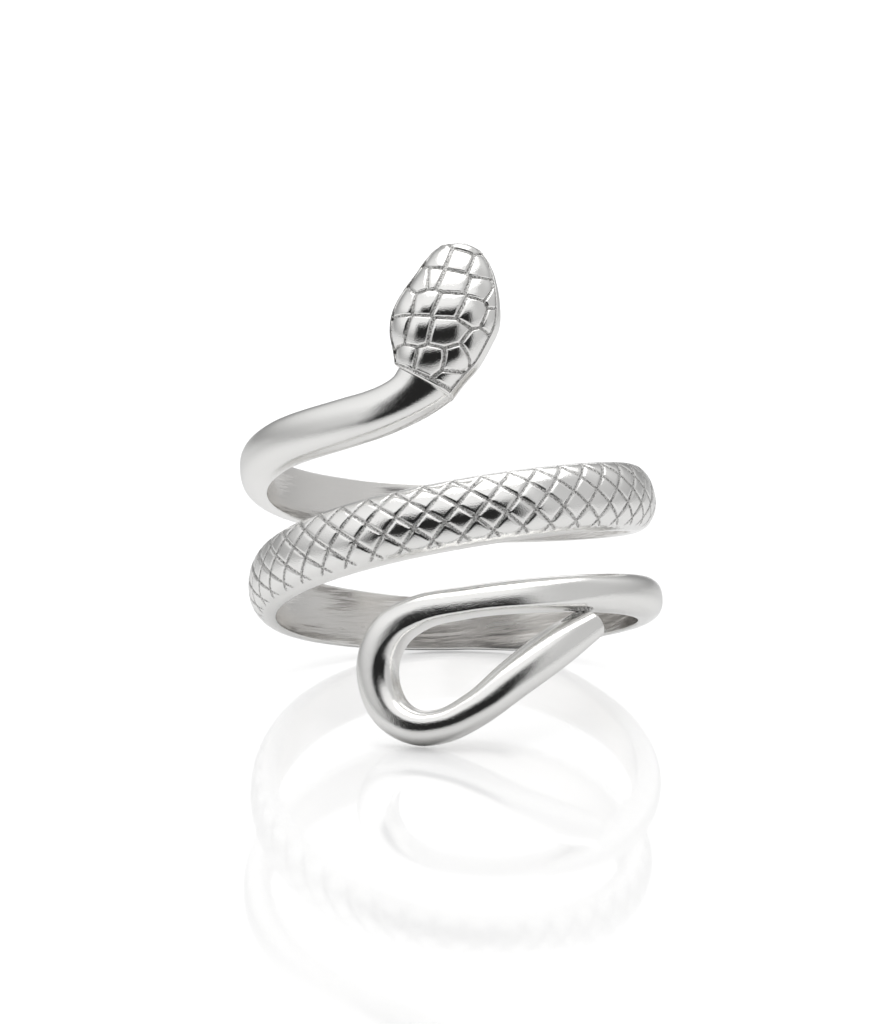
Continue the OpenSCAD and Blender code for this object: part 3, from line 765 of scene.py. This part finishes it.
seam = {
    "lumps": 0.05, "lumpSize": 0.16, "lumpDetail": 2.0, "sides": 20, "step": 0.03,
    # Two runs that meet at the cut end: around, up, middle above the finger, half thickness
    "runs": {
        "seamOnBand": [(4.5, 6.1, 0.5, 0.03), (5.1, 6.08, 0.62, 0.06), (5.7, 6.08, 0.72, 0.11),
                       (6.1, 6.1, 0.8, 0.14), (6.4, 6.12, 0.8, 0.06)],
        "seamOnTail": [(4.75, 5.5, 0.62, 0.03), (5.2, 5.76, 0.64, 0.05), (5.7, 5.94, 0.66, 0.09),
                       (6.1, 6.03, 0.68, 0.12), (6.4, 6.08, 0.66, 0.05)],
    },
}


def makeSeamTree():
    tree = bpy.data.node_groups.new("solderSeam", "GeometryNodeTree")
    given, result = addSockets(tree, [
        ("Line", "Geometry", None), ("Section", "Object", None), ("Lumps", "Float", None),
        ("Lump Size", "Float", None), ("Outside", "Material", None), ("Inside", "Material", None),
    ], [("Mesh", "Geometry", None)])
    mesh = store(tree, sweep(tree, given), "groove", 1.0)
    side, lift, thick = (attribute(tree, name) for name in ("side", "out", "thick"))
    place = combine(tree, attribute(tree, "around"), maths(tree, "MULTIPLY", side, thick),
                    maths(tree, "MULTIPLY", lift, thick))
    lump = noise(tree, place, given["Lump Size"], seam["lumpDetail"])
    reach = maths(tree, "MULTIPLY_ADD", maths(tree, "SUBTRACT", lump, 0.5), given["Lumps"], thick)
    across = maths(tree, "MULTIPLY", side, reach)
    high = maths(tree, "MULTIPLY_ADD", lift, reach, attribute(tree, "high"))
    finishTree(tree, given, result, mesh, across, high, False)
    return tree


def makeSeam(name, rows):
    path = resample(rows, 0, len(rows) - 1, seam["step"]) + [rows[-1]]
    points = [{"around": a * mm, "up": u * mm, "high": h * mm, "thick": t * mm, "heading": 0.0}
              for a, u, h, t in path]
    line = chain(name + "Line", points)
    turns = [2 * math.pi * k / seam["sides"] for k in range(seam["sides"])]
    section = chain(name + "Section", [{"side": math.cos(t), "out": math.sin(t)} for t in turns], closed=True)
    sizes = {"Lumps": seam["lumps"] * mm, "Lump Size": seam["lumpSize"] * mm}
    return makePiece(name, makeSeamTree(), line, section, sizes, (polishedSilver, polishedSilver))


seams = [makeSeam(name, rows) for name, rows in seam["runs"].items()]
print("seam made")

for piece in (snakeBody, snakeHead, *seams):
    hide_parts("snake_ring")
    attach(piece, "root")


# Floor, light and camera

studio = {
    "floorSize": 3.0, "floorWhite": 0.88, "floorRoughness": 0.06, "floorIor": 1.5,
    # The camera itself sees less white and a glow, so that the floor burns out as in the photo
    "floorSeen": 0.62, "floorGlow": 0.39,
    # Each light's brightness, then where it fades in or out, in degrees: up from the floor, or round from
    # straight behind the ring
    "softbox": 1.85, "softboxWay": (0.06, 0.31, 0.95), "softboxReach": (27, 33),
    "upperWall": 0.93, "upperWallFoot": (45, 52), "upperWallSide": (95, 125),
    "window": 1.2, "windowFoot": (4, 8), "windowTop": (20, 24), "windowSide": (6, 10),
    "dark": 0.02, "gapMiddle": 1.5, "gapSide": (129.5, 139.5), "gapTop": (35, 41),
    "wallHeight": (0, 36),
    # Brightness of the walls, at the foot and from wallHeight on: direction, level. Straight behind the
    # ring is 0, and the camera's side is -180 and 180.
    "wallFoot": [(-180, 0.4), (-135, 0.4), (-105, 0.5), (-75, 0.45), (-45, 0.35), (-12, 0.27), (15, 0.27),
                 (45, 0.43), (75, 0.52), (105, 0.6), (135, 0.46), (180, 0.4)],
    "wallTop": [(-180, 0.8), (-135, 0.92), (-105, 0.9), (-75, 0.85), (-45, 0.76), (-12, 0.45), (15, 0.45),
                (45, 0.76), (75, 0.58), (105, 0.56), (135, 0.7), (180, 0.8)],
    "cameraPlace": (0.694, -266.194, 66.371), "aim": (-0.173, -2.055, 9.409),
    "lens": 197.66, "sensor": 36.0, "clipStart": 0.01,
}


def makeFloor():
    half = studio["floorSize"] / 2
    mesh = bpy.data.meshes.new("floor")
    corners = [(-half, -half, 0), (half, -half, 0), (half, half, 0), (-half, half, 0)]
    mesh.from_pydata(corners, [], [(0, 1, 2, 3)])
    floor = bpy.data.objects.new("floor", mesh)
    bpy.context.scene.collection.objects.link(floor)
    material = bpy.data.materials.new("whiteFloor")
    material.use_nodes = True
    tree = material.node_tree
    shader = tree.nodes["Principled BSDF"]
    shader.inputs["Roughness"].default_value = studio["floorRoughness"]
    shader.inputs["IOR"].default_value = studio["floorIor"]
    shader.inputs["Emission Strength"].default_value = 1.0
    camera = newNode(tree, "ShaderNodeLightPath").outputs["Is Camera Ray"]
    plug(tree, shader.inputs["Base Color"],
         smoothRange(tree, camera, 0.0, 1.0, studio["floorWhite"], studio["floorSeen"]))
    plug(tree, shader.inputs["Emission Color"], maths(tree, "MULTIPLY", camera, studio["floorGlow"]))
    mesh.materials.append(material)


def makeWorld():
    # Grey walls with a bright window low behind the ring, a softbox above, and a dark gap behind the camera
    world = bpy.data.worlds.new("studio")
    bpy.context.scene.world = world
    world.use_nodes = True
    tree = world.node_tree
    way = newNode(tree, "ShaderNodeTexCoord").outputs["Generated"]
    x, y, z = newNode(tree, "ShaderNodeSeparateXYZ", {0: way}).outputs
    elevation = maths(tree, "MULTIPLY", maths(tree, "ARCSINE", z), math.degrees(1))
    azimuth = maths(tree, "MULTIPLY", maths(tree, "ARCTAN2", x, y), math.degrees(1))
    sideways = maths(tree, "ABSOLUTE", azimuth)

    def above(value, key):
        return smoothRange(tree, value, *studio[key])

    def below(value, key):
        return smoothRange(tree, value, *studio[key], 1.0, 0.0)

    def levels(stops):
        share = smoothRange(tree, azimuth, -180.0, 180.0, kind="LINEAR")
        band = newNode(tree, "ShaderNodeValToRGB", {0: share})
        ramp = band.color_ramp
        while len(ramp.elements) < len(stops):
            ramp.elements.new(0.5)
        for element, (angle, level) in zip(ramp.elements, stops):
            element.position = (angle + 180) / 360
            element.color = (level, level, level, 1)
        return band.outputs[0]

    light = mix(tree, above(elevation, "wallHeight"), levels(studio["wallFoot"]), levels(studio["wallTop"]))
    pane = maths(tree, "MULTIPLY", above(elevation, "windowFoot"), below(elevation, "windowTop"))
    pane = maths(tree, "MULTIPLY", pane, below(sideways, "windowSide"))
    light = mix(tree, pane, light, studio["window"])
    upper = maths(tree, "MULTIPLY", above(elevation, "upperWallFoot"), above(sideways, "upperWallSide"))
    light = mix(tree, upper, light, studio["upperWall"])
    inner, outer = (math.cos(math.radians(angle)) for angle in studio["softboxReach"])
    overhead = smoothRange(tree, measure(tree, "DOT_PRODUCT", way, studio["softboxWay"]), outer, inner)
    light = mix(tree, overhead, light, studio["softbox"])
    turned = maths(tree, "ABSOLUTE", maths(tree, "SUBTRACT", azimuth, studio["gapMiddle"]))
    dark = maths(tree, "MULTIPLY", above(turned, "gapSide"), below(elevation, "gapTop"))
    light = mix(tree, dark, light, studio["dark"])
    # The camera itself sees white
    seen = mix(tree, newNode(tree, "ShaderNodeLightPath").outputs["Is Camera Ray"], light, 1.0)
    plug(tree, tree.nodes["Background"].inputs["Color"], seen)


def makeCamera():
    data = bpy.data.cameras.new("camera")
    data.lens = studio["lens"]
    data.sensor_width = studio["sensor"]
    data.clip_start = studio["clipStart"]
    camera = bpy.data.objects.new("camera", data)
    bpy.context.scene.collection.objects.link(camera)
    place, aim = (Vector(studio[key]) * mm for key in ("cameraPlace", "aim"))
    camera.location = place
    camera.rotation_euler = (aim - place).to_track_quat("-Z", "Y").to_euler()
    bpy.context.scene.camera = camera


makeFloor()
makeWorld()
makeCamera()
bpy.context.scene.view_settings.view_transform = "Standard"
print("studio made")
